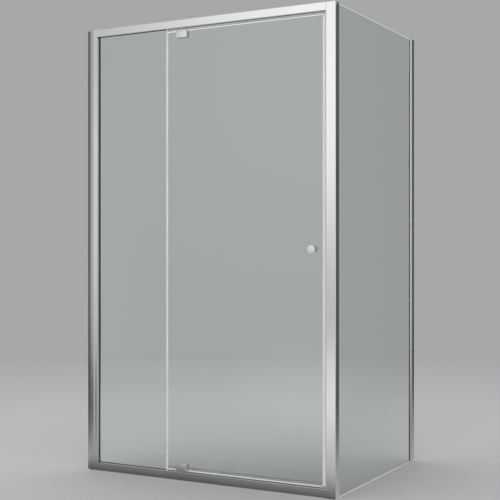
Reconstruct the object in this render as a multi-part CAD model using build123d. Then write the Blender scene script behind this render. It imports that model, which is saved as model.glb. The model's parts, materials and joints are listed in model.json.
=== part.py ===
from build123d import *
from math import sqrt
import os

# Corner shower screen with a framed front, a fixed pane, a pivot door and a return pane.
# All sizes are in millimetres. While it is drawn, X runs from the left wall, Y from the
# front of the frame into the shower, and Z from the floor. Saving moves the origin to the
# middle of the footprint.

# Overall size
width = 1205.0
depth = 889.0
height = 1950.0

# Glass: one thickness for all three panes
glass = 6.0
glass_front = 18.0
glass_corner = 2.0
glass_end_gap = 2.0

# Extruded profiles
frame_depth = 36.0
profile_wall = 1.6
edge_radius = 0.8
post_width = 42.0
post_corner = 2.0
top_rail_height = 32.0
bottom_rail_height = 36.0
groove_depth = 12.0

# Wall channel and the jamb that slides in it
channel_reach = 36.0
channel_web = 2.0
channel_crown = 6.0
jamb_reach = 52.0
jamb_tail = 19.0
jamb_setback = 3.2
slide_fit = 0.2

# Return pane, its wall channel and its glazing profile
return_inset = 10.0
return_channel_width = 20.0
return_channel_depth = 28.0
return_profile_depth = 32.0
return_profile_tuck = 4.0
return_gasket = 1.5
return_lip_radius = 2.5

# Wall screw holes, two pairs in each channel
wall_hole_radius = 2.75
outer_hole_margin = 75.0
inner_hole_spacing = 600.0

# Caps on the upright profiles
cap_plate = 2.0
cap_plug = 12.0
cap_fit = 0.2

# Glazing gaskets and setting blocks
gasket = 3.0
gasket_depth = 10.0
gasket_lip = 1.8
gasket_low_lip = 0.45
setting_block_length = 40.0
setting_block_inset = 60.0

# Fixed pane and door leaf
fixed_pane_edge = 410.0
door_hinge_gap = 2.5
door_top_gap = 12.0
door_bottom_gap = 9.0
strike_space = 15.0

# Clear seals
seal_wall = 1.2
seal_leg = 6.0
fin_overlap = 3.5
run_gap = 0.3
infill_leg = 9.0
infill_wall = 1.4
infill_end_gap = 0.5

# Magnetic seal on the door and its mate in the post
magnet_gap = 0.6
magnet_pocket = 4.2
magnet_width = 8.0
magnet_skin = 1.0
strike_slot_mouth = 6.0
strike_slot_width = 10.0
strike_slot_depth = 3.8
strike_stop = 1.5
strike_stop_reach = 7.0

# Wiper under the door
wiper_leg = 9.0
wiper_clearance = 3.0
wiper_flare = 1.4
wiper_end_gap = 1.0

# Seal under the return pane
return_seal_floor = 2.0
return_seal_leg = 3.0

# Pivot blocks
pivot_offset = 77.5
pivot_width = 51.0
pivot_height = 32.0
pivot_front = 3.0
pivot_inner_plate = 6.0
pivot_gasket = 1.0
pivot_gasket_margin = 0.5
pivot_corner = 4.0
pivot_edge = 1.5
boss_width = 35.0
boss_height = 22.0
boss_corner = 5.0
notch_gap = 0.5
bottom_block_gap = 3.0

# Pivot pins and their bushes
pin_radius = 3.0
pin_seat = 16.0
pin_end_gap = 2.0
pin_fit = 0.05
collar_across = 5.0
bush_radius = 4.5
bush_flange_radius = 8.0
bush_flange = 1.7
bush_hole_gap = 0.1

# Clamping screws of the pivot blocks
clamp_screw_radius = 2.0
clamp_screw_spacing = 26.0
clamp_screw_head = 4.0
clamp_screw_head_height = 2.2
clamp_screw_reach = 14.0
clamp_screw_hole_end = 2.0
screw_hole_gap = 0.1

# Knob
knob_inset = 51.5
knob_z = 978.0
knob_radius = 17.5
knob_head = 8.5
knob_length = 17.0
knob_base_radius = 12.0
knob_base = 3.0
knob_neck_radius = 7.5
knob_edge = 2.5
knob_bevel = 1.2
knob_flare = 2.5
knob_washer = 1.0
knob_hole_radius = 6.0
stud_radius = 3.0
stud_seat = 11.0
stud_fit = 0.1

# Screws in the frame, with their snap caps and plugs
port_bore = 2.0
port_weld = 0.3
port_inset = 9.0
frame_screw_radius = 1.9
frame_screw_length = 22.0
frame_screw_head = 3.6
frame_screw_head_height = 2.4
access_hole_radius = 4.5
access_plug_gap = 0.05
lock_screw_length = 12.0
lock_screw_margin = 420.0
snap_cap_radius = 6.0
snap_cap_height = 3.6
snap_cap_face = 0.8
snap_cap_grip = 0.05

# Places that follow from the sizes above
glass_back = glass_front + glass
groove_front = glass_front - gasket
groove_back = glass_back + gasket
glass_y = (glass_front + glass_back) / 2
profile_top = height - cap_plate
jamb_front = jamb_setback
jamb_back = frame_depth - profile_wall - slide_fit
post_x = width - post_width
rail_under = height - top_rail_height
pane_bottom = bottom_rail_height - groove_depth + glass_end_gap
pane_top = rail_under + groove_depth - glass_end_gap
pane_start = jamb_reach - groove_depth + glass_end_gap
door_left = fixed_pane_edge + door_hinge_gap
door_right = post_x - strike_space
door_bottom = bottom_rail_height + door_bottom_gap
pivot_x = door_left + pivot_offset
knob_x = door_right - knob_inset
door_top = rail_under - door_top_gap
return_x = width - return_inset
return_inside = return_x - glass / 2
return_outside = return_x + glass / 2
return_groove_in = return_inside - return_gasket
return_groove_out = return_outside + return_gasket
channel_y = depth - return_channel_depth
profile_back = depth - channel_web - return_profile_tuck
profile_front = profile_back - return_profile_depth
return_start = frame_depth - groove_depth + glass_end_gap
return_end = profile_front + groove_depth - glass_end_gap
port_y = (jamb_front + groove_front) / 2
port_radius = (groove_front - jamb_front) / 2 - profile_wall + port_weld
bottom_block_face = bottom_rail_height + bottom_block_gap
outer_hole_spacing = height - 2 * outer_hole_margin
hole_heights = [height / 2 + s * d / 2 for d in (outer_hole_spacing, inner_hole_spacing) for s in (-1, 1)]
lock_screw_heights = (lock_screw_margin, height - lock_screw_margin)
knob_front = glass_front - knob_washer - knob_length
to_origin = Pos(-width / 2, -(depth + knob_front) / 2, 0)
INTO_SHOWER = (0, 1, 0)
OUT_OF_SHOWER = (0, -1, 0)
UP = (0, 0, 1)
DOWN = (0, 0, -1)
TO_RIGHT = (1, 0, 0)


def block(u0, u1, v0, v1):
    """A rectangle between two corners."""
    return Pos((u0 + u1) / 2, (v0 + v1) / 2) * Rectangle(u1 - u0, v1 - v0)


def upright(section, z0, z1):
    """A plan section, drawn in X and Y, as a vertical extrusion."""
    return extrude(Pos(0, 0, z0) * section, amount=z1 - z0)


def along_x(section, x0, x1):
    """A section drawn in Y and Z, extruded to the right."""
    return extrude(Plane.YZ.offset(x0) * section, amount=x1 - x0)


def along_y(section, y0, y1):
    """A section drawn in X and Z, extruded into the shower."""
    return extrude(Plane.XZ.offset(-y1) * section, amount=y1 - y0)


def rod(radius, start, direction, length):
    """A cylinder from a point along a direction."""
    shape = Cylinder(radius, length, align=(Align.CENTER, Align.CENTER, Align.MIN))
    return Plane(origin=start, z_dir=direction) * shape


def save(name, shape):
    export_step(to_origin * shape, f"parts/{name}.step")


# Hollow profiles

def glazed_section(height_to_mouth):
    """Hollow profile with a glazing groove: depth runs to the right, the mouth is at the top."""
    outline = block(jamb_front, jamb_back, 0, height_to_mouth)
    outline = fillet(outline.vertices(), edge_radius)
    inner = height_to_mouth - profile_wall
    cavity = block(jamb_front + profile_wall, jamb_back - profile_wall, profile_wall, inner)
    seat = height_to_mouth - groove_depth
    lining = block(groove_front - profile_wall, groove_back + profile_wall, seat - profile_wall, inner)
    groove = block(groove_front, groove_back, seat, height_to_mouth)
    return outline - cavity + lining - groove


def rail_section(height_to_mouth):
    """The rails' section has a screw port in its front chamber."""
    port = Pos(port_y, port_inset) * Circle(port_radius)
    return glazed_section(height_to_mouth) + port - Pos(port_y, port_inset) * Circle(port_bore)


def gasket_pair(mouth):
    """The two wedge gaskets of one groove, in the axes of the glazed section."""
    foot = mouth - gasket_depth
    lip = mouth + gasket_lip
    low_lip = mouth + gasket_low_lip
    front = Polygon(
        (groove_front, foot), (glass_front, foot), (glass_front, lip), (groove_front, low_lip), align=None
    )
    back = Polygon(
        (groove_back, foot), (groove_back, low_lip), (glass_back, lip), (glass_back, foot), align=None
    )
    return [front, back]


def infill_section(mouth):
    """Strip that closes a rail's groove over the door, flush with the rail."""
    web = block(groove_front, groove_back, mouth - infill_wall, mouth)
    front_leg = block(groove_front, groove_front + infill_wall, mouth - infill_leg, mouth)
    back_leg = block(groove_back - infill_wall, groove_back, mouth - infill_leg, mouth)
    return web + front_leg + back_leg


def jamb_place(z_top):
    """Turns a glazed section so that its mouth faces right, for extruding down from z_top."""
    return Plane(origin=(jamb_tail, 0, z_top), x_dir=INTO_SHOWER, z_dir=DOWN)


def top_rail_place(x_end):
    """Turns a glazed section so that its mouth faces down, for extruding left from x_end."""
    return Plane(origin=(x_end, 0, height), x_dir=INTO_SHOWER, z_dir=(-1, 0, 0))


def crowned_outline():
    """Plan outline of the wall channel: its front bulges gently from the wall to the lip."""
    radius = (channel_reach**2 + channel_crown**2) / (2 * channel_crown)
    middle = channel_reach / 2
    sag = radius - sqrt(radius**2 - (channel_reach - middle) ** 2)
    crown = ThreePointArc((0, channel_crown), (middle, sag), (channel_reach, 0))
    lip = Line((channel_reach, 0), (channel_reach, frame_depth))
    back = Line((channel_reach, frame_depth), (0, frame_depth))
    wall = Line((0, frame_depth), (0, channel_crown))
    return make_face(crown + lip + back + wall)


def wall_holes(direction, x, y):
    """Drills for the wall screw holes in a channel's web."""
    return [rod(wall_hole_radius, (x, y, z), direction, channel_web) for z in hole_heights]


def front_wall_channel():
    outline = crowned_outline()
    inside = offset(outline, amount=-profile_wall)
    mouth = block(channel_reach / 2, channel_reach, jamb_front - slide_fit, jamb_back + slide_fit)
    web = block(0, channel_web, channel_crown, frame_depth)
    shape = upright(outline - inside - mouth + (web & outline), 0, profile_top)
    for hole in wall_holes(TO_RIGHT, 0, frame_depth / 2):
        shape -= hole
    for screw in jamb_lock_holes():
        shape -= screw
    return shape


def front_jamb():
    reach = jamb_reach - jamb_tail
    section = glazed_section(reach)
    section -= block(jamb_front + profile_wall, jamb_back - profile_wall, 0, profile_wall)
    shape = extrude(jamb_place(profile_top) * section, amount=profile_top)
    for y, z in rail_screw_places():
        start = (jamb_reach - profile_wall, y, z)
        shape -= rod(frame_screw_radius + screw_hole_gap, start, TO_RIGHT, profile_wall)
    for screw in jamb_lock_holes():
        shape -= screw
    return shape


def top_rail():
    section = rail_section(top_rail_height)
    return extrude(top_rail_place(post_x) * section, amount=post_x - jamb_reach)


def bottom_rail():
    return along_x(rail_section(bottom_rail_height), jamb_reach, post_x)


def post_outline():
    outline = block(post_x, width, 0, frame_depth)
    return fillet(outline.vertices(), post_corner)


def strike_housing():
    """The T slot in the post, as lining and as the space that is cut."""
    half_mouth = strike_slot_mouth / 2
    half_slot = strike_slot_width / 2
    slot_end = post_x + profile_wall + strike_slot_depth
    lining = block(
        post_x + profile_wall,
        slot_end + profile_wall,
        glass_y - half_slot - profile_wall,
        glass_y + half_slot + profile_wall,
    )
    mouth = block(post_x, post_x + profile_wall, glass_y - half_mouth, glass_y + half_mouth)
    chamber = block(post_x + profile_wall, slot_end, glass_y - half_slot, glass_y + half_slot)
    return lining, mouth + chamber


def corner_post():
    cavity = block(post_x + profile_wall, width - profile_wall, profile_wall, frame_depth - profile_wall)
    seat = frame_depth - groove_depth
    lining = block(return_groove_in - profile_wall, width - profile_wall, seat - profile_wall, frame_depth)
    groove = block(return_groove_in, return_groove_out, seat, frame_depth)
    slot_lining, slot = strike_housing()
    section = post_outline() - cavity + (lining & post_outline()) + slot_lining - groove - slot
    shape = upright(section, 0, profile_top)
    for y, z in rail_screw_places():
        shape -= rod(frame_screw_radius + screw_hole_gap, (post_x, y, z), TO_RIGHT, profile_wall)
        shape -= rod(access_hole_radius, (width - profile_wall, y, z), TO_RIGHT, profile_wall)
    return shape


def return_wall_channel():
    left = width - return_channel_width
    outline = block(left, width, channel_y, depth)
    inside = block(left + profile_wall, width - profile_wall, channel_y, depth - channel_web)
    shape = upright(outline - inside, 0, profile_top)
    for hole in wall_holes(INTO_SHOWER, return_x, depth - channel_web):
        shape -= hole
    for screw in return_lock_holes():
        shape -= screw
    return shape


def return_glazing_profile():
    left = width - return_channel_width + profile_wall + slide_fit
    right = width - profile_wall - slide_fit
    outline = block(left, right, profile_front, profile_back)
    outline = fillet(outline.vertices().group_by(Axis.Y)[0], return_lip_radius)
    outline = fillet(outline.vertices().group_by(Axis.Y)[-1], edge_radius)
    groove = block(return_groove_in, return_groove_out, profile_front, profile_front + groove_depth)
    cavity = block(
        left + profile_wall,
        right - profile_wall,
        profile_front + groove_depth + profile_wall,
        profile_back - profile_wall,
    )
    shape = upright(outline - groove - cavity, 0, profile_top)
    for screw in return_lock_holes():
        shape -= screw
    return shape


# Caps on top of the uprights

def wall_channel_cap():
    jamb = block(channel_reach / 2, jamb_reach, jamb_front, jamb_back)
    plate = upright(crowned_outline() + jamb, profile_top, height)
    plug_left = jamb_tail + profile_wall + cap_fit
    plug_right = jamb_reach - groove_depth - profile_wall - cap_fit
    inset = profile_wall + cap_fit
    plug = upright(
        block(plug_left, plug_right, jamb_front + inset, jamb_back - inset), profile_top - cap_plug, profile_top
    )
    return plate + plug


def corner_post_cap():
    plate = upright(post_outline(), profile_top, height)
    inset = profile_wall + cap_fit
    plug_left = post_x + profile_wall + strike_slot_depth + inset
    plug_right = return_groove_in - inset
    plug_front = port_y + frame_screw_head + cap_fit
    plug = upright(
        block(plug_left, plug_right, plug_front, frame_depth - inset), profile_top - cap_plug, profile_top
    )
    return plate + plug


def return_channel_cap():
    left = width - return_channel_width
    plate = upright(block(left, width, profile_front, depth), profile_top, height)
    inset = profile_wall + cap_fit
    side = inset + slide_fit + profile_wall
    plug = upright(
        block(
            left + side,
            width - side,
            profile_front + groove_depth + inset,
            profile_back - inset,
        ),
        profile_top - cap_plug,
        profile_top,
    )
    return plate + plug


# Panes

def fixed_glass():
    return along_y(block(pane_start, fixed_pane_edge, pane_bottom, pane_top), glass_front, glass_back)


def return_glass():
    section = block(return_inside, return_outside, return_start, return_end)
    return upright(section, return_seal_floor, profile_top)


def notch(face, inward):
    """Outline of the boss space at one pivot: face is its open side, inward is +1 upwards or -1 down."""
    half = boss_width / 2 + notch_gap
    end = face + inward * (boss_height + notch_gap)
    space = block(pivot_x - half, pivot_x + half, min(face, end), max(face, end))
    corners = space.vertices().group_by(Axis.Y)[-1 if inward > 0 else 0]
    return fillet(corners, boss_corner)


def door_glass():
    pane = block(door_left, door_right, door_bottom, door_top)
    pane = fillet(pane.vertices(), glass_corner)
    pane -= notch(door_top, -1)
    pane -= notch(bottom_block_face, 1)
    pane -= Pos(knob_x, knob_z) * Circle(knob_hole_radius)
    return along_y(pane, glass_front, glass_back)


# Glazing gaskets, setting blocks and seals

def jamb_gaskets():
    length = rail_under - bottom_rail_height
    pair = gasket_pair(jamb_reach - jamb_tail)
    return Part() + [extrude(jamb_place(rail_under) * side, amount=length) for side in pair]


def top_rail_gaskets():
    start = jamb_reach + gasket_lip
    pair = gasket_pair(top_rail_height)
    place = top_rail_place(fixed_pane_edge)
    return Part() + [extrude(place * side, amount=fixed_pane_edge - start) for side in pair]


def bottom_rail_gaskets():
    pair = gasket_pair(bottom_rail_height)
    return Part() + [along_x(side, jamb_reach + gasket_lip, fixed_pane_edge) for side in pair]


def return_gaskets(mouth, side):
    """Wedge gaskets of the return pane: side is +1 where the groove opens towards the wall."""
    foot = mouth - side * gasket_depth
    lip = mouth + side * gasket_lip
    low_lip = mouth + side * gasket_low_lip
    strips = []
    for groove_face, glass_face in (
        (return_groove_in, return_inside),
        (return_groove_out, return_outside),
    ):
        corners = [(groove_face, foot), (glass_face, foot), (glass_face, lip), (groove_face, low_lip)]
        strips.append(upright(make_face(Polyline(corners, close=True)), 0, profile_top))
    return Part() + strips


def setting_blocks():
    places = (jamb_reach + setting_block_inset, fixed_pane_edge - setting_block_inset)
    pads = []
    for x in places:
        section = block(groove_front, groove_back, pane_bottom - glass_end_gap, pane_bottom)
        pads.append(along_x(section, x - setting_block_length / 2, x + setting_block_length / 2))
    return Part() + pads


def edge_clip(edge):
    """Plan of a clear clip pressed on the right-hand edge of a pane."""
    outer = block(edge - seal_leg, edge + seal_wall, glass_front - seal_wall, glass_back + seal_wall)
    return outer - block(edge - seal_leg, edge, glass_front, glass_back)


def fixed_edge_seal():
    fin_back = glass_front - run_gap
    fin = block(fixed_pane_edge, door_left + fin_overlap, fin_back - seal_wall, fin_back)
    section = edge_clip(fixed_pane_edge) + fin
    return upright(section, bottom_rail_height + gasket_lip, rail_under - gasket_lip)


def magnet_place():
    """The two pockets face each other across the magnet gap, from the door edge and from the post."""
    door_face = door_right + seal_wall + magnet_pocket
    return door_face, door_face + magnet_gap


def door_magnet_seal():
    face, _ = magnet_place()
    half = magnet_width / 2
    pocket = block(door_right, face, glass_y - half - magnet_skin, glass_y + half + magnet_skin)
    pane = block(door_right - seal_leg, door_right, glass_front, glass_back)
    room = block(door_right + seal_wall, face - magnet_skin, glass_y - half, glass_y + half)
    return upright(edge_clip(door_right) + (pocket - pane) - room, door_bottom, door_top)


def door_seal_magnet():
    face, _ = magnet_place()
    half = magnet_width / 2
    section = block(door_right + seal_wall, face - magnet_skin, glass_y - half, glass_y + half)
    return upright(section, door_bottom, door_top)


def post_magnet_strip():
    _, face = magnet_place()
    half = magnet_width / 2
    pocket = block(face, post_x, glass_y - half - magnet_skin, glass_y + half + magnet_skin)
    room = block(face + magnet_skin, post_x - magnet_skin, glass_y - half, glass_y + half)
    stop_back = glass_y + half + magnet_skin + strike_stop
    stop = block(post_x - strike_stop_reach, post_x, stop_back - strike_stop, stop_back)
    neck_half = strike_slot_mouth / 2
    foot_half = strike_slot_width / 2 - slide_fit
    neck = block(post_x, post_x + profile_wall, glass_y - neck_half, glass_y + neck_half)
    foot_start = post_x + profile_wall
    foot = block(foot_start, foot_start + strike_slot_depth / 2, glass_y - foot_half, glass_y + foot_half)
    return upright(pocket + stop + neck + foot - room, bottom_rail_height, rail_under)


def post_seal_magnet():
    _, face = magnet_place()
    half = magnet_width / 2
    section = block(face + magnet_skin, post_x - magnet_skin, glass_y - half, glass_y + half)
    return upright(section, bottom_rail_height, rail_under)


def door_bottom_seal():
    top = door_bottom + wiper_leg
    floor = door_bottom - seal_wall
    tip = bottom_rail_height + wiper_clearance
    front = glass_front - seal_wall
    back = glass_back + seal_wall
    clip = block(front, back, floor, top) - block(glass_front, glass_back, door_bottom, top)
    front_fin = Polygon(
        (front, floor),
        (front - wiper_flare, tip),
        (glass_front - wiper_flare, tip),
        (glass_front, floor),
        align=None,
    )
    back_fin = Polygon(
        (glass_back, floor),
        (glass_back + wiper_flare, tip),
        (back + wiper_flare, tip),
        (back, floor),
        align=None,
    )
    section = clip + front_fin + back_fin
    left_end = pivot_x - pivot_width / 2 - wiper_end_gap
    right_start = pivot_x + pivot_width / 2 + wiper_end_gap
    left_start = door_left + fin_overlap + run_gap
    right_end = door_right - seal_leg - run_gap
    return along_x(section, left_start, left_end) + along_x(section, right_start, right_end)


def return_bottom_seal():
    left = return_inside - seal_wall
    right = return_outside + seal_wall
    top = return_seal_floor + return_seal_leg
    section = block(left, right, 0, top) - block(return_inside, return_outside, return_seal_floor, top)
    return along_y(section, frame_depth + gasket_lip, profile_front - gasket_lip)


def infill_hole(z):
    return rod(bush_radius + bush_hole_gap, (pivot_x, glass_y, z), UP, infill_wall)


def top_rail_infill():
    length = post_x - fixed_pane_edge - infill_end_gap
    strip = extrude(top_rail_place(post_x) * infill_section(top_rail_height), amount=length)
    return strip - infill_hole(rail_under)


def bottom_rail_infill():
    strip = along_x(infill_section(bottom_rail_height), fixed_pane_edge + infill_end_gap, post_x)
    return strip - infill_hole(bottom_rail_height - infill_wall)


# Pivots

def pivot_bush(face, inward):
    """Flanged nylon bush in a rail: face is the rail's face, inward points into the rail."""
    flange = rod(bush_flange_radius, (pivot_x, glass_y, face), (0, 0, -inward), bush_flange)
    body = rod(bush_radius, (pivot_x, glass_y, face), (0, 0, inward), groove_depth)
    start = face - inward * bush_flange
    bore = rod(pin_radius + pin_fit, (pivot_x, glass_y, start), (0, 0, inward), bush_flange + groove_depth)
    return flange + body - bore


def pivot_pin(face, rail_face, outward):
    """Steel pin held in a pivot block, with a hexagonal collar that stands off its bush."""
    start = (pivot_x, glass_y, face - outward * pin_seat)
    end = rail_face + outward * (groove_depth - pin_end_gap)
    shank = rod(pin_radius, start, (0, 0, outward), abs(end - start[2]))
    collar_length = abs(rail_face - face) - bush_flange - run_gap
    place = Plane(origin=(pivot_x, glass_y, face), z_dir=(0, 0, outward))
    return shank + extrude(place * RegularPolygon(collar_across, 6), amount=collar_length)


def pivot_outline(face, inward):
    half = pivot_width / 2
    end = face + inward * pivot_height
    outline = block(pivot_x - half, pivot_x + half, min(face, end), max(face, end))
    return fillet(outline.vertices(), pivot_corner)


def clamp_screw_places(face, inward):
    z = face + inward * boss_height / 2
    return [(pivot_x + side * clamp_screw_spacing / 2, z) for side in (-1, 1)]


def pivot_outer_plate(face, inward):
    """Cast outer half of a pivot block, with the boss that passes through the glass notch."""
    plate_back = glass_front - pivot_gasket
    plate = along_y(pivot_outline(face, inward), pivot_front, plate_back)
    plate = chamfer(plate.edges().group_by(Axis.Y)[0], pivot_edge)
    half = boss_width / 2
    end = face + inward * boss_height
    boss = block(pivot_x - half, pivot_x + half, min(face, end), max(face, end))
    corners = boss.vertices().group_by(Axis.Y)[-1 if inward > 0 else 0]
    boss = along_y(fillet(corners, boss_corner), plate_back, glass_back + pivot_gasket)
    shape = plate + boss
    shape -= rod(pin_radius + pin_fit, (pivot_x, glass_y, face), (0, 0, inward), pin_seat)
    for x, z in clamp_screw_places(face, inward):
        start = (x, glass_back + pivot_gasket, z)
        reach = clamp_screw_reach + clamp_screw_hole_end
        shape -= rod(clamp_screw_radius + screw_hole_gap, start, OUT_OF_SHOWER, reach)
    return shape


def pivot_inner_plate_shape(face, inward):
    start = glass_back + pivot_gasket
    end = start + pivot_inner_plate
    plate = along_y(pivot_outline(face, inward), start, end)
    plate = chamfer(plate.edges().group_by(Axis.Y)[-1], pivot_edge)
    for x, z in clamp_screw_places(face, inward):
        plate -= rod(clamp_screw_radius + screw_hole_gap, (x, start, z), INTO_SHOWER, pivot_inner_plate)
        plate -= clamp_screw_cone(x, z, screw_hole_gap)
    return plate


def clamp_screw_cone(x, z, extra=0.0):
    """Countersunk head, flush with the inner plate."""
    head = Cone(
        clamp_screw_radius + extra,
        clamp_screw_head + extra,
        clamp_screw_head_height,
        align=(Align.CENTER, Align.CENTER, Align.MIN),
    )
    end = glass_back + pivot_gasket + pivot_inner_plate
    return Plane(origin=(x, end - clamp_screw_head_height, z), z_dir=INTO_SHOWER) * head


def pivot_screws(face, inward):
    screws = []
    start = glass_back + pivot_gasket - clamp_screw_reach
    end = glass_back + pivot_gasket + pivot_inner_plate - clamp_screw_head_height
    for x, z in clamp_screw_places(face, inward):
        shank = rod(clamp_screw_radius, (x, start, z), INTO_SHOWER, end - start)
        screws.append(shank + clamp_screw_cone(x, z))
    return Part() + screws


def pivot_gaskets(face, inward):
    """Clear pads between the glass and the two plates of a pivot block."""
    pad = offset(pivot_outline(face, inward), amount=-pivot_gasket_margin)
    pad -= notch(face, inward)
    outer = along_y(pad, glass_front - pivot_gasket, glass_front)
    return outer + along_y(pad, glass_back, glass_back + pivot_gasket)


# Knob

def knob_half(glass_face, outward):
    """One side of the round knob: a flanged base, a neck that flares out and a bevelled head."""
    under_head = knob_length - knob_head
    profile = Polyline(
        (0, 0),
        (knob_base_radius, 0),
        (knob_base_radius, knob_base - knob_bevel),
        (knob_base_radius - knob_bevel, knob_base),
        (knob_neck_radius, knob_base),
        (knob_neck_radius, under_head - knob_flare),
        (knob_neck_radius + knob_flare, under_head),
        (knob_radius - knob_bevel, under_head),
        (knob_radius, under_head + knob_bevel),
        (knob_radius, knob_length - knob_edge),
        (knob_radius - knob_edge, knob_length),
        (0, knob_length),
        (0, 0),
    )
    shape = revolve(Plane.XZ * make_face(profile), Axis.Z)
    shape -= rod(stud_radius + stud_fit, (0, 0, 0), UP, stud_seat)
    start = glass_face + outward * knob_washer
    return Plane(origin=(knob_x, start, knob_z), z_dir=(0, outward, 0)) * shape


def knob_stud():
    start = glass_front - knob_washer - stud_seat
    length = glass + 2 * knob_washer + 2 * stud_seat
    return rod(stud_radius, (knob_x, start, knob_z), INTO_SHOWER, length)


def knob_sleeve():
    start = (knob_x, glass_front, knob_z)
    return rod(knob_hole_radius - stud_fit, start, INTO_SHOWER, glass) - rod(
        stud_radius + stud_fit, start, INTO_SHOWER, glass
    )


def knob_washers():
    rings = []
    for y in (glass_front - knob_washer, glass_back):
        start = (knob_x, y, knob_z)
        disc = rod(knob_base_radius, start, INTO_SHOWER, knob_washer)
        rings.append(disc - rod(stud_radius + stud_fit, start, INTO_SHOWER, knob_washer))
    return Part() + rings


# Screws of the frame

def rail_screw_places():
    """Depth and height of the screws that join an upright to the two rails."""
    return [(port_y, port_inset), (port_y, height - port_inset)]


def hex_head(start, direction):
    """Hexagonal screw head on the face that it clamps."""
    plane = Plane(origin=start, z_dir=direction)
    return extrude(plane * RegularPolygon(frame_screw_head, 6), amount=frame_screw_head_height)


def rail_screws(seat, into_rail):
    """Screws from inside an upright into the screw ports of the rails."""
    screws = []
    for y, z in rail_screw_places():
        start = (seat, y, z)
        head = hex_head(start, (-into_rail, 0, 0))
        screws.append(head + rod(frame_screw_radius, start, (into_rail, 0, 0), frame_screw_length))
    return Part() + screws


def post_access_plugs():
    plugs = []
    inner = width - profile_wall
    for y, z in rail_screw_places():
        plugs.append(rod(access_hole_radius - access_plug_gap, (inner, y, z), TO_RIGHT, profile_wall))
    return Part() + plugs


def jamb_lock_x():
    return (jamb_tail + channel_reach) / 2


def return_lock_y():
    return (channel_y + profile_back) / 2


def jamb_lock_holes():
    start = frame_depth - lock_screw_length
    radius = frame_screw_radius + screw_hole_gap
    return [rod(radius, (jamb_lock_x(), start, z), INTO_SHOWER, lock_screw_length) for z in lock_screw_heights]


def return_lock_holes():
    left = width - return_channel_width
    radius = frame_screw_radius + screw_hole_gap
    reach = return_channel_width / 2
    return [rod(radius, (left, return_lock_y(), z), TO_RIGHT, reach) for z in lock_screw_heights]


def lock_screw(start, inward, outward, length):
    head = hex_head(start, outward)
    return head + rod(frame_screw_radius, start, inward, length)


def snap_cap(start, outward):
    """Round cover that grips a screw head in a hexagonal pocket."""
    shell = Cylinder(snap_cap_radius, snap_cap_height, align=(Align.CENTER, Align.CENTER, Align.MIN))
    pocket = RegularPolygon(frame_screw_head + snap_cap_grip, 6)
    shell -= extrude(pocket, amount=snap_cap_height - snap_cap_face)
    return Plane(origin=start, z_dir=outward) * shell


def jamb_lock_starts():
    return [(jamb_lock_x(), frame_depth, z) for z in lock_screw_heights]


def return_lock_starts():
    return [(width - return_channel_width, return_lock_y(), z) for z in lock_screw_heights]


def build():
    return {
        "front_wall_channel": front_wall_channel(),
        "front_jamb": front_jamb(),
        "wall_channel_cap": wall_channel_cap(),
        "top_rail": top_rail(),
        "bottom_rail": bottom_rail(),
        "corner_post": corner_post(),
        "corner_post_cap": corner_post_cap(),
        "return_wall_channel": return_wall_channel(),
        "return_glazing_profile": return_glazing_profile(),
        "return_channel_cap": return_channel_cap(),
        "fixed_glass": fixed_glass(),
        "return_glass": return_glass(),
        "jamb_gaskets": jamb_gaskets(),
        "top_rail_gaskets": top_rail_gaskets(),
        "bottom_rail_gaskets": bottom_rail_gaskets(),
        "post_gaskets": return_gaskets(frame_depth, 1),
        "return_profile_gaskets": return_gaskets(profile_front, -1),
        "fixed_setting_blocks": setting_blocks(),
        "fixed_edge_seal": fixed_edge_seal(),
        "return_bottom_seal": return_bottom_seal(),
        "top_rail_infill": top_rail_infill(),
        "bottom_rail_infill": bottom_rail_infill(),
        "post_magnet_strip": post_magnet_strip(),
        "post_seal_magnet": post_seal_magnet(),
        "top_pivot_bush": pivot_bush(rail_under, 1),
        "bottom_pivot_bush": pivot_bush(bottom_rail_height, -1),
        "jamb_rail_screws": rail_screws(jamb_reach - profile_wall, 1),
        "post_rail_screws": rail_screws(post_x + profile_wall, -1),
        "post_access_plugs": post_access_plugs(),
        "jamb_lock_screws": Part()
        + [lock_screw(p, OUT_OF_SHOWER, INTO_SHOWER, lock_screw_length) for p in jamb_lock_starts()],
        "jamb_screw_caps": Part() + [snap_cap(p, INTO_SHOWER) for p in jamb_lock_starts()],
        "return_lock_screws": Part()
        + [lock_screw(p, TO_RIGHT, (-1, 0, 0), return_channel_width / 2) for p in return_lock_starts()],
        "return_screw_caps": Part() + [snap_cap(p, (-1, 0, 0)) for p in return_lock_starts()],
        "door_glass": door_glass(),
        "top_pivot_outer_plate": pivot_outer_plate(door_top, -1),
        "top_pivot_inner_plate": pivot_inner_plate_shape(door_top, -1),
        "top_pivot_gaskets": pivot_gaskets(door_top, -1),
        "top_pivot_pin": pivot_pin(door_top, rail_under, 1),
        "top_pivot_screws": pivot_screws(door_top, -1),
        "bottom_pivot_outer_plate": pivot_outer_plate(bottom_block_face, 1),
        "bottom_pivot_inner_plate": pivot_inner_plate_shape(bottom_block_face, 1),
        "bottom_pivot_gaskets": pivot_gaskets(bottom_block_face, 1),
        "bottom_pivot_pin": pivot_pin(bottom_block_face, bottom_rail_height, -1),
        "bottom_pivot_screws": pivot_screws(bottom_block_face, 1),
        "door_bottom_seal": door_bottom_seal(),
        "door_magnet_seal": door_magnet_seal(),
        "door_seal_magnet": door_seal_magnet(),
        "knob_outer": knob_half(glass_front, -1),
        "knob_inner": knob_half(glass_back, 1),
        "knob_stud": knob_stud(),
        "knob_sleeve": knob_sleeve(),
        "knob_washers": knob_washers(),
    }


os.makedirs("parts", exist_ok=True)
for node, solid in build().items():
    save(node, solid)
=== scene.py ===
import json
from math import cos, pi, radians, sin

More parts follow.
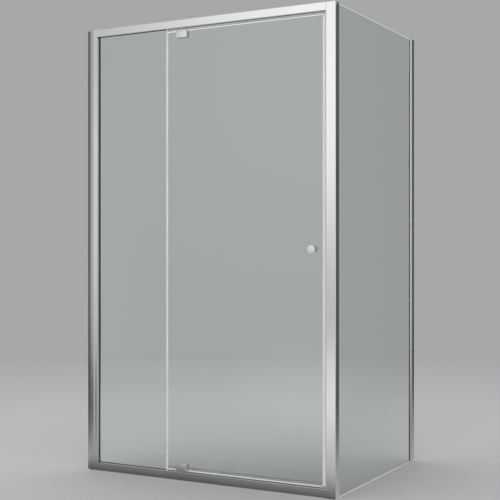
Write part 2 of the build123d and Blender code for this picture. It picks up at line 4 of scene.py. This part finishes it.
import bmesh
import bpy
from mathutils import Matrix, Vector


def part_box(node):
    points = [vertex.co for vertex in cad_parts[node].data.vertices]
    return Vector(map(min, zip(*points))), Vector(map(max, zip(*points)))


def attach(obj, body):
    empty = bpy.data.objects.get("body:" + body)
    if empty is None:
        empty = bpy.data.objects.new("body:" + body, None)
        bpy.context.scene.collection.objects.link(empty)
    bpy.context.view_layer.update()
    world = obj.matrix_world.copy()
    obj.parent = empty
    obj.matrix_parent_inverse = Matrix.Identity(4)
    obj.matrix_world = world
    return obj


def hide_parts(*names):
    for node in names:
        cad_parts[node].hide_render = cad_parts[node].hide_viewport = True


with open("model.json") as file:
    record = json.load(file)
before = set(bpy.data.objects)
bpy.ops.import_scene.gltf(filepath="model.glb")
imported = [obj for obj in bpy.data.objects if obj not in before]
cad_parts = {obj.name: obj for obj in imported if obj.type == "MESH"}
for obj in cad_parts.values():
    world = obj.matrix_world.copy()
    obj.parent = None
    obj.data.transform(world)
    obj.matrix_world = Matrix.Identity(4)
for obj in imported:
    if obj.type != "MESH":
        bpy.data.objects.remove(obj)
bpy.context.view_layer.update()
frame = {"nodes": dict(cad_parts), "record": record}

# Camera, solved from the photograph's long edges
CAMERA_PLACE = (2.2951, -4.2324, 0.9757)
CAMERA_TURN = radians(28.691)
CAMERA_LENS = 76.33
CAMERA_SENSOR = 36.0

# The backdrop that camera, metal and glass see, and the even light that the screen stands in
BACKDROP_TONE = (0.385, 0.39, 0.398, 1.0)
ROOM_LIGHT = 0.78

# Floor: its tone, its width, and the distances from the origin between which it fades into the backdrop
FLOOR_TONE = (0.58, 0.585, 0.59, 1.0)
FLOOR_REACH = 40.0
FLOOR_FADE = (2.2, 5.0)

# Tones of the cards that the metal reflects
FLAG_TONE = (0.06, 0.06, 0.063, 1.0)
LOW_CARD_TONE = (0.85, 0.85, 0.85, 1.0)
WHITE_CARD_TONE = (1.0, 1.0, 1.0, 1.0)

# How a card is turned
STANDING = (0.0, 0.0, 0.0)
TURNED = (0.0, 0.0, pi / 2)
LYING = (pi / 2, 0.0, 0.0)
LYING_TURNED = (pi / 2, 0.0, pi / 2)

# How high a lying card floats, and the narrow edge of a card that begins at another one or at the rails
CARD_LIFT = 0.0008
SEAM = 0.001

# How far ahead of the bottom rail the card at the screen's foot begins
FOOT_CARD_GAP = 0.0042

# Sockets of a Mix node that mixes two colours
MIX_FACTOR = 0
MIX_FIRST = 6
MIX_SECOND = 7
MIX_RESULT = 2

# Die lines: the middles of their noises, and the shares of the bands in the height and the lines in the haze
LINE_MIDDLE = 0.5
CLOUD_MIDDLE = 0.35
BAND_SHARE = 0.5
RUB_SHARE = 0.8

# Middle between the two tones of a drawn metal, which its shade swings about
TONE_MIDDLE = 0.5

# How noise is drawn out: along upright and level extrusions, along upright and level seals, and not at all
UPRIGHT_DIE = (1.0, 1.0, 0.004)
LEVEL_DIE = (0.004, 1.0, 1.0)
UPRIGHT_SEAL = (1.0, 1.0, 0.05)
LEVEL_SEAL = (0.05, 1.0, 1.0)
EVEN = (1.0, 1.0, 1.0)

# Handling: how far from its middle a dried spot ends, and the noise between clean metal and a smear
SPOT_RIM = (0.09, 0.13)
SMEAR_SPAN = (0.42, 0.72)

# Skin of plastic and rubber: the spans of noise that shade and roughness follow, and its depth
CLOUD_SPAN = (0.3, 0.7)
GRAIN_SPAN = (0.2, 0.8)
SKIN_DEPTH = 0.0001

# Glass: how squarely a pane's face looks along its axis, and how rough a ground edge and a dried spot are
PANE_FACE = 0.9
GROUND_EDGE = 0.5
DRIED_SPOT = 0.02

# Which way the faces of the front panes and of the return pane look
FRONT_AXIS = (0.0, 1.0, 0.0)
SIDE_AXIS = (1.0, 0.0, 0.0)

# Meshes: how near two corners are one, how flat two faces are one, and where shading breaks
WELD = 0.000002
FLAT = radians(0.5)
SHARP = radians(30.0)

# Panes: the width of their arrises, its steps, and the least corner that gets one
ARRIS = 0.0012
ARRIS_STEPS = 1
ARRIS_CORNER = radians(60.0)

# Pivot plates: the width of their eased edges, its steps, and the least corner that is eased
PLATE_EASE = 0.0006
PLATE_STEPS = 3
PLATE_CORNER = radians(40.0)

# Foot of the door's glass, below which the two milky fins of its seal hang
FIN_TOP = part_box("door_glass")[0][2]

# Seal on the fixed pane: the width of its clip, painted darker grey as shade, and the place along the front
# where it turns milky
CLIP_WIDTH = 0.0018
CLIP_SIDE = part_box("fixed_edge_seal")[0][0] + CLIP_WIDTH

# Knob: how far the middle of its domed face stands from the washer on the glass
KNOB_LENGTH = 0.017

# One side's outline as radius and distance from that washer, with the corner's own radius
KNOB_OUTLINE = (
    (0.0120, 0.0000, 0.0003),
    (0.0120, 0.0030, 0.0010),
    (0.0076, 0.0034, 0.0012),
    (0.0076, 0.0070, 0.0018),
    (0.0175, 0.0085, 0.0008),
    (0.0175, 0.0162, 0.0024),
)
KNOB_SIDES = 96
CORNER_STEPS = 6


# Node trees

class Tree:
    """Short ways to add nodes to one node tree."""

    def __init__(self, tree):
        self.tree = tree

    def add(self, kind, inputs=None, **settings):
        node = self.tree.nodes.new("ShaderNode" + kind)
        for name, value in settings.items():
            setattr(node, name, value)
        for key, value in (inputs or {}).items():
            self.put(node.inputs[key], value)
        return node

    def put(self, socket, value):
        """Sets a socket to a number or colour, or links it to a node or to one output of it."""
        if isinstance(value, bpy.types.Node):
            self.tree.links.new(value.outputs[0], socket)
        elif isinstance(value, tuple) and isinstance(value[0], bpy.types.Node):
            self.tree.links.new(value[0].outputs[value[1]], socket)
        else:
            socket.default_value = value

    def math(self, operation, first, second=0.0, clamp=False):
        return self.add("Math", {0: first, 1: second}, operation=operation, use_clamp=clamp)

    def span(self, value, low, high, to_low=0.0, to_high=1.0):
        """A value's range stretched onto another one and held inside it."""
        return self.add("MapRange", {0: value, 1: low, 2: high, 3: to_low, 4: to_high})

    def blend(self, factor, first, second):
        """One colour pulled towards a second one by a factor."""
        sockets = {MIX_FACTOR: factor, MIX_FIRST: first, MIX_SECOND: second}
        return (self.add("Mix", sockets, data_type="RGBA"), MIX_RESULT)


def new_group(name, inputs, outputs):
    """A node group with named sockets, given as (name, kind, start value) and (name, kind)."""
    group = bpy.data.node_groups.new(name, "ShaderNodeTree")
    for label, kind, value in inputs:
        socket = group.interface.new_socket(label, in_out="INPUT", socket_type="NodeSocket" + kind)
        socket.default_value = value
    for label, kind in outputs:
        group.interface.new_socket(label, in_out="OUTPUT", socket_type="NodeSocket" + kind)
    return group, Tree(group), group.nodes.new("NodeGroupInput"), group.nodes.new("NodeGroupOutput")


def die_line_group():
    """Lines and bands that a die leaves along drawn metal, and the slow change of its haze."""
    group, tree, given, out = new_group(
        "die_lines",
        [("Stretch", "Vector", EVEN), ("Tone", "Float", 0.03), ("Haze", "Float", 0.05)],
        [("Height", "Float"), ("Shade", "Float"), ("Roughness", "Float")],
    )
    place = tree.add("TexCoord")
    along = tree.add("VectorMath", {0: (place, "Object"), 1: (given, "Stretch")}, operation="MULTIPLY")
    lines = tree.add("TexNoise", {"Vector": along, "Scale": 900.0, "Detail": 3.0, "Roughness": 0.6})
    bands = tree.add("TexNoise", {"Vector": along, "Scale": 140.0, "Detail": 1.0, "Roughness": 0.4})
    cloud = tree.add("TexNoise", {"Vector": (place, "Object"), "Scale": 3.0, "Detail": 2.0, "Roughness": 0.5})
    height = tree.math("ADD", lines, tree.math("MULTIPLY", bands, BAND_SHARE))
    shade = tree.math("MULTIPLY", tree.math("SUBTRACT", bands, LINE_MIDDLE), (given, "Tone"))
    haze = tree.math("MULTIPLY", tree.math("SUBTRACT", cloud, CLOUD_MIDDLE), (given, "Haze"))
    line_haze = tree.math("MULTIPLY", (given, "Haze"), RUB_SHARE)
    rub = tree.math("MULTIPLY", tree.math("SUBTRACT", lines, LINE_MIDDLE), line_haze)
    tree.put(out.inputs["Height"], height)
    tree.put(out.inputs["Shade"], shade)
    tree.put(out.inputs["Roughness"], tree.math("ADD", haze, rub))
    return group


def handling_group():
    """Faint smears and dried water spots on plated metal and glass."""
    group, tree, given, out = new_group(
        "handling",
        [("Smear Size", "Float", 30.0), ("Spot Size", "Float", 160.0), ("Spots", "Float", 0.5)],
        [("Smear", "Float"), ("Spot", "Float")],
    )
    place = tree.add("TexCoord")
    smear = tree.add(
        "TexNoise",
        {"Vector": (place, "Object"), "Scale": (given, "Smear Size"), "Detail": 4.0, "Distortion": 0.8},
    )
    cells = tree.add(
        "TexVoronoi", {"Vector": (place, "Object"), "Scale": (given, "Spot Size")}, feature="F1"
    )
    spot = tree.span((cells, "Distance"), *SPOT_RIM, 1.0, 0.0)
    kept = tree.math("LESS_THAN", tree.add("SeparateColor", {0: (cells, "Color")}), (given, "Spots"))
    tree.put(out.inputs["Smear"], tree.span(smear, *SMEAR_SPAN))
    tree.put(out.inputs["Spot"], tree.math("MULTIPLY", spot, kept))
    return group


def grain_group():
    """The fine skin of moulded plastic, extruded seal or rubber."""
    group, tree, given, out = new_group(
        "skin_grain",
        [("Stretch", "Vector", EVEN), ("Scale", "Float", 1500.0)],
        [("Height", "Float"), ("Shade", "Float")],
    )
    place = tree.add("TexCoord")
    along = tree.add("VectorMath", {0: (place, "Object"), 1: (given, "Stretch")}, operation="MULTIPLY")
    grain = tree.add("TexNoise", {"Vector": along, "Scale": (given, "Scale"), "Detail": 2.0})
    cloud = tree.add("TexNoise", {"Vector": (place, "Object"), "Scale": 9.0, "Detail": 2.0})
    tree.put(out.inputs["Height"], grain)
    tree.put(out.inputs["Shade"], tree.span(cloud, *CLOUD_SPAN))
    return group


def pane_edge_group():
    """Masks the ground edges and arrises of a pane, whose faces look along one axis."""
    group, tree, given, out = new_group(
        "pane_edge", [("Face Axis", "Vector", FRONT_AXIS)], [("Edge", "Float")]
    )
    place = tree.add("TexCoord")
    facing = tree.add("VectorMath", {0: (place, "Normal"), 1: (given, "Face Axis")}, operation="DOT_PRODUCT")
    turned = tree.math("ABSOLUTE", (facing, "Value"))
    tree.put(out.inputs["Edge"], tree.math("LESS_THAN", turned, PANE_FACE))
    return group


DIE_LINES = die_line_group()
HANDLING = handling_group()
GRAIN = grain_group()
PANE_EDGE = pane_edge_group()


# Materials

class Finish(Tree):
    """A material with its Principled shader, and what several materials do with it."""

    def __init__(self, name, **plain):
        self.material = bpy.data.materials.new(name)
        self.material.use_nodes = True
        super().__init__(self.material.node_tree)
        self.shader = self.tree.nodes["Principled BSDF"]
        for label, value in plain.items():
            self.shader.inputs[label.replace("_", " ")].default_value = value

    def use(self, group, **given):
        node = self.tree.nodes.new("ShaderNodeGroup")
        node.node_tree = group
        for label, value in given.items():
            node.inputs[label.replace("_", " ")].default_value = value
        return node

    def drive(self, label, value):
        self.put(self.shader.inputs[label], value)

    def shine(self, shader):
        """Puts a shader on the surface in place of the Principled one."""
        self.put(self.tree.nodes["Material Output"].inputs["Surface"], shader)

    def tint(self, mask, first, second):
        """Base colour that a mask pulls from the first colour to the second."""
        self.drive("Base Color", self.blend(mask, first, second))

    def bump(self, height, strength, distance):
        node = self.add("Bump", {"Height": height, "Strength": strength, "Distance": distance})
        self.drive("Normal", node)

    def drawn(self, stretch, tone, haze, roughness, strength, distance):
        """Die lines of drawn metal in roughness and height. Their shade is left to the colour."""
        lines = self.use(DIE_LINES, Stretch=stretch, Tone=tone, Haze=haze)
        self.drive("Roughness", self.math("ADD", (lines, "Roughness"), roughness, clamp=True))
        self.bump((lines, "Height"), strength, distance)
        return self.math("ADD", (lines, "Shade"), TONE_MIDDLE, clamp=True)

    def skin(self, scale, smooth, rough, strength, stretch=EVEN):
        """Fine grain of plastic or rubber in roughness and height. Its shade is left to the colour."""
        grain = self.use(GRAIN, Stretch=stretch, Scale=scale)
        self.drive("Roughness", self.span((grain, "Height"), *GRAIN_SPAN, smooth, rough))
        self.bump((grain, "Height"), strength, SKIN_DEPTH)
        return (grain, "Shade")

    def handled(self, marks, roughness, smear, spot):
        """Roughness of plated metal, to which smears and dried spots add their own."""
        worn = self.math("ADD", self.math("MULTIPLY", (marks, "Smear"), smear), roughness)
        self.drive("Roughness", self.math("ADD", worn, self.math("MULTIPLY", (marks, "Spot"), spot)))


def extruded_aluminium(name, stretch):
    finish = Finish(name, Metallic=1.0)
    shade = finish.drawn(stretch, tone=0.05, haze=0.10, roughness=0.22, strength=0.12, distance=0.00004)
    finish.tint(shade, (0.80, 0.81, 0.82, 1.0), (0.96, 0.965, 0.97, 1.0))
    return finish.material


def soft_chrome():
    """Turned knob, brushed soft before it was plated."""
    finish = Finish("chrome_plate_soft", Metallic=1.0)
    marks = finish.use(HANDLING, Smear_Size=45.0, Spot_Size=420.0, Spots=0.12)
    finish.handled(marks, roughness=0.36, smear=0.05, spot=0.06)
    finish.tint((marks, "Spot"), (0.97, 0.97, 0.98, 1.0), (0.88, 0.88, 0.88, 1.0))
    finish.bump((marks, "Smear"), strength=0.02, distance=0.0002)
    return finish.material


def satin_chrome():
    """Cast pivot plates, blasted before they were plated."""
    finish = Finish("satin_chrome_cast", Metallic=1.0)
    marks = finish.use(HANDLING, Smear_Size=60.0, Spot_Size=500.0, Spots=0.03)
    finish.handled(marks, roughness=0.33, smear=0.04, spot=0.08)
    grain = finish.use(GRAIN, Scale=1900.0)
    finish.tint((grain, "Shade"), (0.90, 0.90, 0.91, 1.0), (0.96, 0.96, 0.97, 1.0))
    finish.bump((grain, "Height"), strength=0.10, distance=0.00005)
    return finish.material


def clear_glass(name, face_axis):
    """Clear float glass. Its ground edges are rougher and glow faintly with painted light: an emission that
    stands for light leaving the pane by them.
    """
    finish = Finish(name, IOR=1.5, Transmission_Weight=1.0, Emission_Strength=1.0)
    edge = finish.use(PANE_EDGE, Face_Axis=face_axis)
    marks = finish.use(HANDLING, Smear_Size=5.0, Spot_Size=60.0, Spots=0.04)
    spots = finish.math("MULTIPLY", (marks, "Spot"), DRIED_SPOT)
    finish.drive("Roughness", finish.math("ADD", spots, finish.math("MULTIPLY", edge, GROUND_EDGE)))
    finish.tint(edge, (0.945, 0.968, 0.962, 1.0), (0.92, 0.98, 0.96, 1.0))
    # Painted glow: the ground edges emit a faint pale green light of their own, though they are no lamp
    finish.drive("Emission Color", finish.blend(edge, (0.0, 0.0, 0.0, 1.0), (0.62, 0.68, 0.66, 1.0)))
    return finish.material


def milky_seal():
    finish = Finish(
        "milky_seal_plastic", Transmission_Weight=0.1, Coat_Weight=0.3, Coat_Roughness=0.2, IOR=1.45
    )
    shade = finish.skin(900.0, smooth=0.28, rough=0.42, strength=0.15, stretch=UPRIGHT_SEAL)
    finish.tint(shade, (0.90, 0.92, 0.92, 1.0), (0.95, 0.96, 0.96, 1.0))
    return finish.material


def clip_seal(name, stretch, axis, side, limit):
    """Clear seal on a pane's edge: a clip on the glass painted darker grey as shade, and milky on one side of
    a limit.
    """
    finish = Finish(name, Transmission_Weight=0.25, IOR=1.45)
    shade = finish.skin(900.0, smooth=0.28, rough=0.42, strength=0.15, stretch=stretch)
    fins = finish.blend(shade, (0.88, 0.90, 0.90, 1.0), (0.94, 0.95, 0.95, 1.0))
    # Painted shade: the part of the seal that clips the glass takes a darker grey than the milky fins
    shaded_clip = finish.blend(shade, (0.46, 0.47, 0.48, 1.0), (0.54, 0.55, 0.56, 1.0))
    place = finish.add("SeparateXYZ", {0: (finish.add("TexCoord"), "Object")})
    finish.tint(finish.math(side, (place, axis), limit), shaded_clip, fins)
    return finish.material


def dark_gasket():
    finish = Finish("dark_gasket_rubber")
    shade = finish.skin(1800.0, smooth=0.55, rough=0.75, strength=0.3)
    finish.tint(shade, (0.045, 0.046, 0.05, 1.0), (0.075, 0.076, 0.08, 1.0))
    return finish.material


def cap_plastic():
    finish = Finish("cap_plastic_moulded", Coat_Weight=0.2)
    shade = finish.skin(1300.0, smooth=0.32, rough=0.45, strength=0.2)
    finish.tint(shade, (0.60, 0.61, 0.62, 1.0), (0.68, 0.69, 0.70, 1.0))
    return finish.material


def natural_nylon():
    finish = Finish("nylon_turned")
    shade = finish.skin(700.0, smooth=0.4, rough=0.55, strength=0.2, stretch=(1.0, 1.0, 6.0))
    finish.tint(shade, (0.76, 0.75, 0.70, 1.0), (0.84, 0.83, 0.79, 1.0))
    return finish.material


def screw_steel():
    finish = Finish("screw_steel_plain", Metallic=1.0)
    shade = finish.drawn(EVEN, tone=0.2, haze=0.2, roughness=0.32, strength=0.2, distance=0.00005)
    finish.tint(shade, (0.50, 0.50, 0.51, 1.0), (0.72, 0.72, 0.72, 1.0))
    return finish.material


def magnet_strip():
    finish = Finish("magnet_strip_ferrite")
    shade = finish.skin(2500.0, smooth=0.6, rough=0.8, strength=0.3)
    finish.tint(shade, (0.07, 0.065, 0.06, 1.0), (0.12, 0.115, 0.11, 1.0))
    return finish.material


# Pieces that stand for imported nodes, with the edges that the real ones have

def welded(node):
    """A node's mesh with its split corners joined and its flat faces whole again."""
    shape = bmesh.new()
    shape.from_mesh(frame["nodes"][node].data)
    bmesh.ops.remove_doubles(shape, verts=shape.verts, dist=WELD)
    bmesh.ops.dissolve_limit(shape, angle_limit=FLAT, verts=shape.verts, edges=shape.edges)
    return shape


def finished_piece(name, shape, body, finish, node):
    """Turns a mesh into a piece that replaces a node and rides on its body."""
    mesh = bpy.data.meshes.new(name)
    bmesh.ops.recalc_face_normals(shape, faces=shape.faces)
    shape.to_mesh(mesh)
    shape.free()
    mesh.shade_smooth()
    mesh.set_sharp_from_angle(angle=SHARP)
    mesh.materials.append(finish)
    piece = bpy.data.objects.new(name, mesh)
    bpy.context.collection.objects.link(piece)
    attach(piece, body)
    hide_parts(node)
    return piece


def eased(node, body, finish, width, steps, corner):
    """A copy of a node, whose edges that turn by more than a corner are eased."""
    shape = welded(node)
    edges = [e for e in shape.edges if len(e.link_faces) == 2 and e.calc_face_angle() > corner]
    bmesh.ops.bevel(
        shape, geom=edges, offset=width, segments=steps, profile=0.5, affect="EDGES", clamp_overlap=True
    )
    return finished_piece(node + "_eased", shape, body, finish, node)


def dress(node, finish):
    """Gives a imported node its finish."""
    for slot in frame["nodes"][node].material_slots:
        slot.material = finish


def make_panes(front, side):
    """Front and side are the finishes of the panes that look along Y and along X."""
    for node, body, finish in (
        ("fixed_glass", "frame", front),
        ("door_glass", "door", front),
        ("return_glass", "frame", side),
    ):
        eased(node, body, finish, ARRIS, ARRIS_STEPS, ARRIS_CORNER)


def make_pivot_plates(chrome):
    for end in ("top", "bottom"):
        for side in ("outer", "inner"):
            node = f"{end}_pivot_{side}_plate"
            eased(node, "door", chrome, PLATE_EASE, PLATE_STEPS, PLATE_CORNER)


def rounded(outline):
    """The outline's points with each corner turned into a small curve of its own radius."""
    corners = [Vector(point[:2]) for point in outline]
    before = [Vector((0.0, corners[0].y))] + corners[:-1]
    after = corners[1:] + [Vector((0.0, KNOB_LENGTH))]
    points = []
    for corner, back, ahead, (_, _, radius) in zip(corners, before, after, outline):
        start = corner + (back - corner).normalized() * radius
        end = corner + (ahead - corner).normalized() * radius
        for step in range(CORNER_STEPS + 1):
            t = step / CORNER_STEPS
            points.append(start * (1 - t) ** 2 + corner * 2 * t * (1 - t) + end * t**2)
    return points


def knob_ring(shape, middle, radius, y):
    """One round of corners about the knob's own line."""
    ring = []
    for step in range(KNOB_SIDES):
        turn = 2 * pi * step / KNOB_SIDES
        ring.append(shape.verts.new((middle.x + radius * cos(turn), y, middle.z + radius * sin(turn))))
    return ring


def turned_knob(node, side, finish):
    """One side of the knob turned smooth, with a gently domed face: side is -1 outside, 1 inside."""
    low, high = (Vector(corner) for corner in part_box(node))
    middle = (low + high) / 2
    foot = high.y if side < 0 else low.y
    shape = bmesh.new()
    rings = [knob_ring(shape, middle, point.x, foot + side * point.y) for point in rounded(KNOB_OUTLINE)]
    neighbours = [(step, (step + 1) % KNOB_SIDES) for step in range(KNOB_SIDES)]
    for ring, following in zip(rings, rings[1:]):
        for step, other in neighbours:
            shape.faces.new((ring[step], ring[other], following[other], following[step]))
    for ring, y in ((rings[0], foot), (rings[-1], foot + side * KNOB_LENGTH)):
        centre = shape.verts.new((middle.x, y, middle.z))
        for step, other in neighbours:
            shape.faces.new((ring[step], ring[other], centre))
    return finished_piece(node + "_turned", shape, "door", finish, node)


def make_knob(chrome):
    for node, side in (("knob_outer", -1), ("knob_inner", 1)):
        turned_knob(node, side, chrome)


def dress_all():
    upright = extruded_aluminium("bright_aluminium_upright", UPRIGHT_DIE)
    rail = extruded_aluminium("bright_aluminium_rail", LEVEL_DIE)
    by_slot = {
        "chrome_plate": soft_chrome(),
        "milky_seal": milky_seal(),
        "dark_gasket": dark_gasket(),
        "cap_plastic": cap_plastic(),
        "nylon": natural_nylon(),
        "screw_steel": screw_steel(),
        "magnet_strip": magnet_strip(),
        "bright_aluminium": upright,
        "clear_glass": clear_glass("clear_glass_front", FRONT_AXIS),
    }
    clear_return = clear_glass("clear_glass_return", SIDE_AXIS)
    special = {
        "top_rail": rail,
        "bottom_rail": rail,
        # Painted shade: the rail infills are dressed in dark gasket rubber, so they show as the dark line of
        # shade along the rails
        "top_rail_infill": by_slot["dark_gasket"],
        "bottom_rail_infill": by_slot["dark_gasket"],
        "return_glass": clear_return,
        "door_bottom_seal": clip_seal("wiper_seal_plastic", LEVEL_SEAL, "Z", "LESS_THAN", FIN_TOP),
        "fixed_edge_seal": clip_seal("edge_seal_plastic", UPRIGHT_SEAL, "X", "GREATER_THAN", CLIP_SIDE),
    }
    for part in frame["record"]["subparts"]:
        node = part["node"]
        dress(node, special.get(node, by_slot[part["material_slot"]]))
    make_panes(by_slot["clear_glass"], clear_return)
    make_pivot_plates(satin_chrome())
    make_knob(by_slot["chrome_plate"])


# Studio

def make_camera():
    data = bpy.data.cameras.new("camera")
    data.sensor_width = CAMERA_SENSOR
    data.lens = CAMERA_LENS
    camera = bpy.data.objects.new("camera", data)
    camera.location = CAMERA_PLACE
    camera.rotation_euler = (pi / 2, 0.0, CAMERA_TURN)
    bpy.context.collection.objects.link(camera)
    bpy.context.scene.camera = camera


def make_world():
    """Even room light. Camera, metal and glass all see the backdrop's tone."""
    world = bpy.data.worlds.new("studio")
    world.use_nodes = True
    bpy.context.scene.world = world
    tree = Tree(world.node_tree)
    sky = world.node_tree.nodes["Background"]
    ray = tree.add("LightPath")
    seen = tree.math("ADD", (ray, "Is Camera Ray"), (ray, "Is Glossy Ray"))
    seen = tree.math("ADD", seen, (ray, "Is Transmission Ray"), clamp=True)
    room = (ROOM_LIGHT, ROOM_LIGHT, ROOM_LIGHT, 1.0)
    tree.put(sky.inputs["Color"], tree.blend(seen, room, BACKDROP_TONE))


def flat_sheet(name, corners, finish):
    """An object of one face with four corners."""
    mesh = bpy.data.meshes.new(name)
    mesh.from_pydata(corners, [], [(0, 1, 2, 3)])
    mesh.materials.append(finish)
    sheet = bpy.data.objects.new(name, mesh)
    bpy.context.collection.objects.link(sheet)
    return sheet


def make_floor():
    """A pale floor that keeps the shadow near the screen and fades into the backdrop's tone."""
    finish = Finish("floor_pale", Base_Color=FLOOR_TONE, Roughness=0.9, Specular_IOR_Level=0.1)
    place = finish.add("TexCoord")
    away = finish.add("VectorMath", {0: (place, "Object")}, operation="LENGTH")
    far = finish.span((away, "Value"), *FLOOR_FADE)
    glow = finish.add("Emission", {"Color": BACKDROP_TONE, "Strength": 1.0})
    finish.shine(finish.add("MixShader", {0: far, 1: finish.shader, 2: glow}))
    half = FLOOR_REACH / 2
    corners = [(-half, -half, 0), (half, -half, 0), (half, half, 0), (-half, half, 0)]
    floor = flat_sheet("floor", corners, finish.material)


def make_card(name, place, turn, size, edges, tone):
    """A card that only gloss sees. Its edges, at sides, foot and top, fade into the backdrop's tone."""
    width, height = size
    side_edge, low_edge, high_edge = edges
    finish = Finish(name + "_board")
    across = finish.add("SeparateXYZ", {0: (finish.add("TexCoord"), "Object")})
    from_middle = finish.math("ABSOLUTE", (across, "X"))
    inside = finish.span(from_middle, width / 2 - side_edge, width / 2, 1.0, 0.0)
    inside = finish.math("MULTIPLY", inside, finish.span((across, "Z"), 0.0, low_edge))
    inside = finish.math("MULTIPLY", inside, finish.span((across, "Z"), height - high_edge, height, 1.0, 0.0))
    finish.shine(finish.add("Emission", {"Color": finish.blend(inside, BACKDROP_TONE, tone)}))
    corners = [(-width / 2, 0, 0), (width / 2, 0, 0), (width / 2, 0, height), (-width / 2, 0, height)]
    card = flat_sheet(name, corners, finish.material)
    card.location = place
    card.rotation_euler = turn
    card.visible_camera = False
    card.visible_diffuse = False
    card.visible_transmission = False
    card.visible_shadow = False


def soft_panel(name, place, look_at, size, radiance, fades):
    """A lamp hidden from camera and glass. Its fades are shares of its width and height, at each end."""
    width, height = size
    data = bpy.data.lights.new(name, "AREA")
    data.shape = "RECTANGLE"
    data.size = width
    data.size_y = height
    data.energy = radiance * pi * width * height
    data.use_nodes = True
    tree = Tree(data.node_tree)
    across = tree.add("SeparateXYZ", {0: (tree.add("NewGeometry"), "Parametric")})
    strength = 1.0
    for axis, (low_fade, high_fade) in zip("XY", fades):
        for end, fade in ((0.0, low_fade), (1.0, high_fade)):
            full = abs(end - fade)
            ramp = tree.add("MapRange", {0: (across, axis), 1: end, 2: full}, interpolation_type="SMOOTHSTEP")
            strength = tree.math("MULTIPLY", ramp, strength)
    tree.put(data.node_tree.nodes["Emission"].inputs["Strength"], strength)
    lamp = bpy.data.objects.new(name, data)
    lamp.location = place
    lamp.rotation_euler = (Vector(look_at) - Vector(place)).to_track_quat("-Z", "Y").to_euler()
    lamp.visible_camera = False
    lamp.visible_transmission = False
    bpy.context.collection.objects.link(lamp)


def make_cards():
    """Dark cards give the metal its dim bands, and pale ones its bright ones, low down and to the right."""
    make_card(
        "right_flag", place=(2.3, 3.8, 0.0), turn=STANDING,
        size=(3.4, 5.0), edges=(0.9, SEAM, 0.6), tone=FLAG_TONE,
    )
    make_card(
        "right_foot_card", place=(2.3, 3.8, CARD_LIFT), turn=LYING,
        size=(3.4, 4.6), edges=(0.9, SEAM, 1.4), tone=FLAG_TONE,
    )
    make_card(
        "left_flag", place=(-5.6, -1.6, 0.0), turn=TURNED,
        size=(4.6, 5.0), edges=(0.8, SEAM, 0.6), tone=FLAG_TONE,
    )
    make_card(
        "left_foot_card", place=(-5.6, -1.6, CARD_LIFT), turn=LYING_TURNED,
        size=(4.6, 4.9), edges=(0.8, SEAM, 1.2), tone=FLAG_TONE,
    )
    make_card(
        "low_card", place=(0.1, -1.75, 0.0), turn=STANDING,
        size=(1.5, 0.6), edges=(0.4, 0.02, 0.3), tone=LOW_CARD_TONE,
    )
    foot_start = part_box("bottom_rail")[0][1] - FOOT_CARD_GAP
    make_card(
        "foot_card", place=(0.0, foot_start, CARD_LIFT), turn=LYING,
        size=(1.9, 0.42), edges=(0.3, SEAM, 0.42), tone=FLAG_TONE,
    )
    make_card(
        "right_card", place=(4.6, -1.2, 0.0), turn=TURNED,
        size=(6.0, 5.0), edges=(1.0, 0.05, 0.3), tone=WHITE_CARD_TONE,
    )


def make_lamps():
    """Three soft panels in front of the screen and one over it."""
    soft_panel(
        "key_panel", place=(-1.6, -4.6, 2.3), look_at=(-1.6, 0.0, 2.3),
        size=(6.0, 4.6), radiance=0.66, fades=((0.55, 0.1), (0.48, 0.1)),
    )
    soft_panel(
        "left_panel", place=(-3.9, -4.5, 1.4), look_at=(-3.9, 0.0, 1.4),
        size=(1.8, 2.8), radiance=0.38, fades=((0.4, 0.4), (0.02, 0.4)),
    )
    soft_panel(
        "right_panel", place=(3.0, -4.5, 2.3), look_at=(3.0, 0.0, 2.3),
        size=(2.8, 4.6), radiance=0.62, fades=((0.4, 0.2), (0.05, 0.1)),
    )
    soft_panel(
        "top_panel", place=(0.0, -0.6, 4.2), look_at=(0.0, -0.6, 0.0),
        size=(3.5, 3.5), radiance=0.6, fades=((0.3, 0.3), (0.3, 0.3)),
    )


make_camera()
make_world()
make_floor()
make_cards()
make_lamps()
dress_all()

bpy.context.scene.view_settings.view_transform = "Standard"
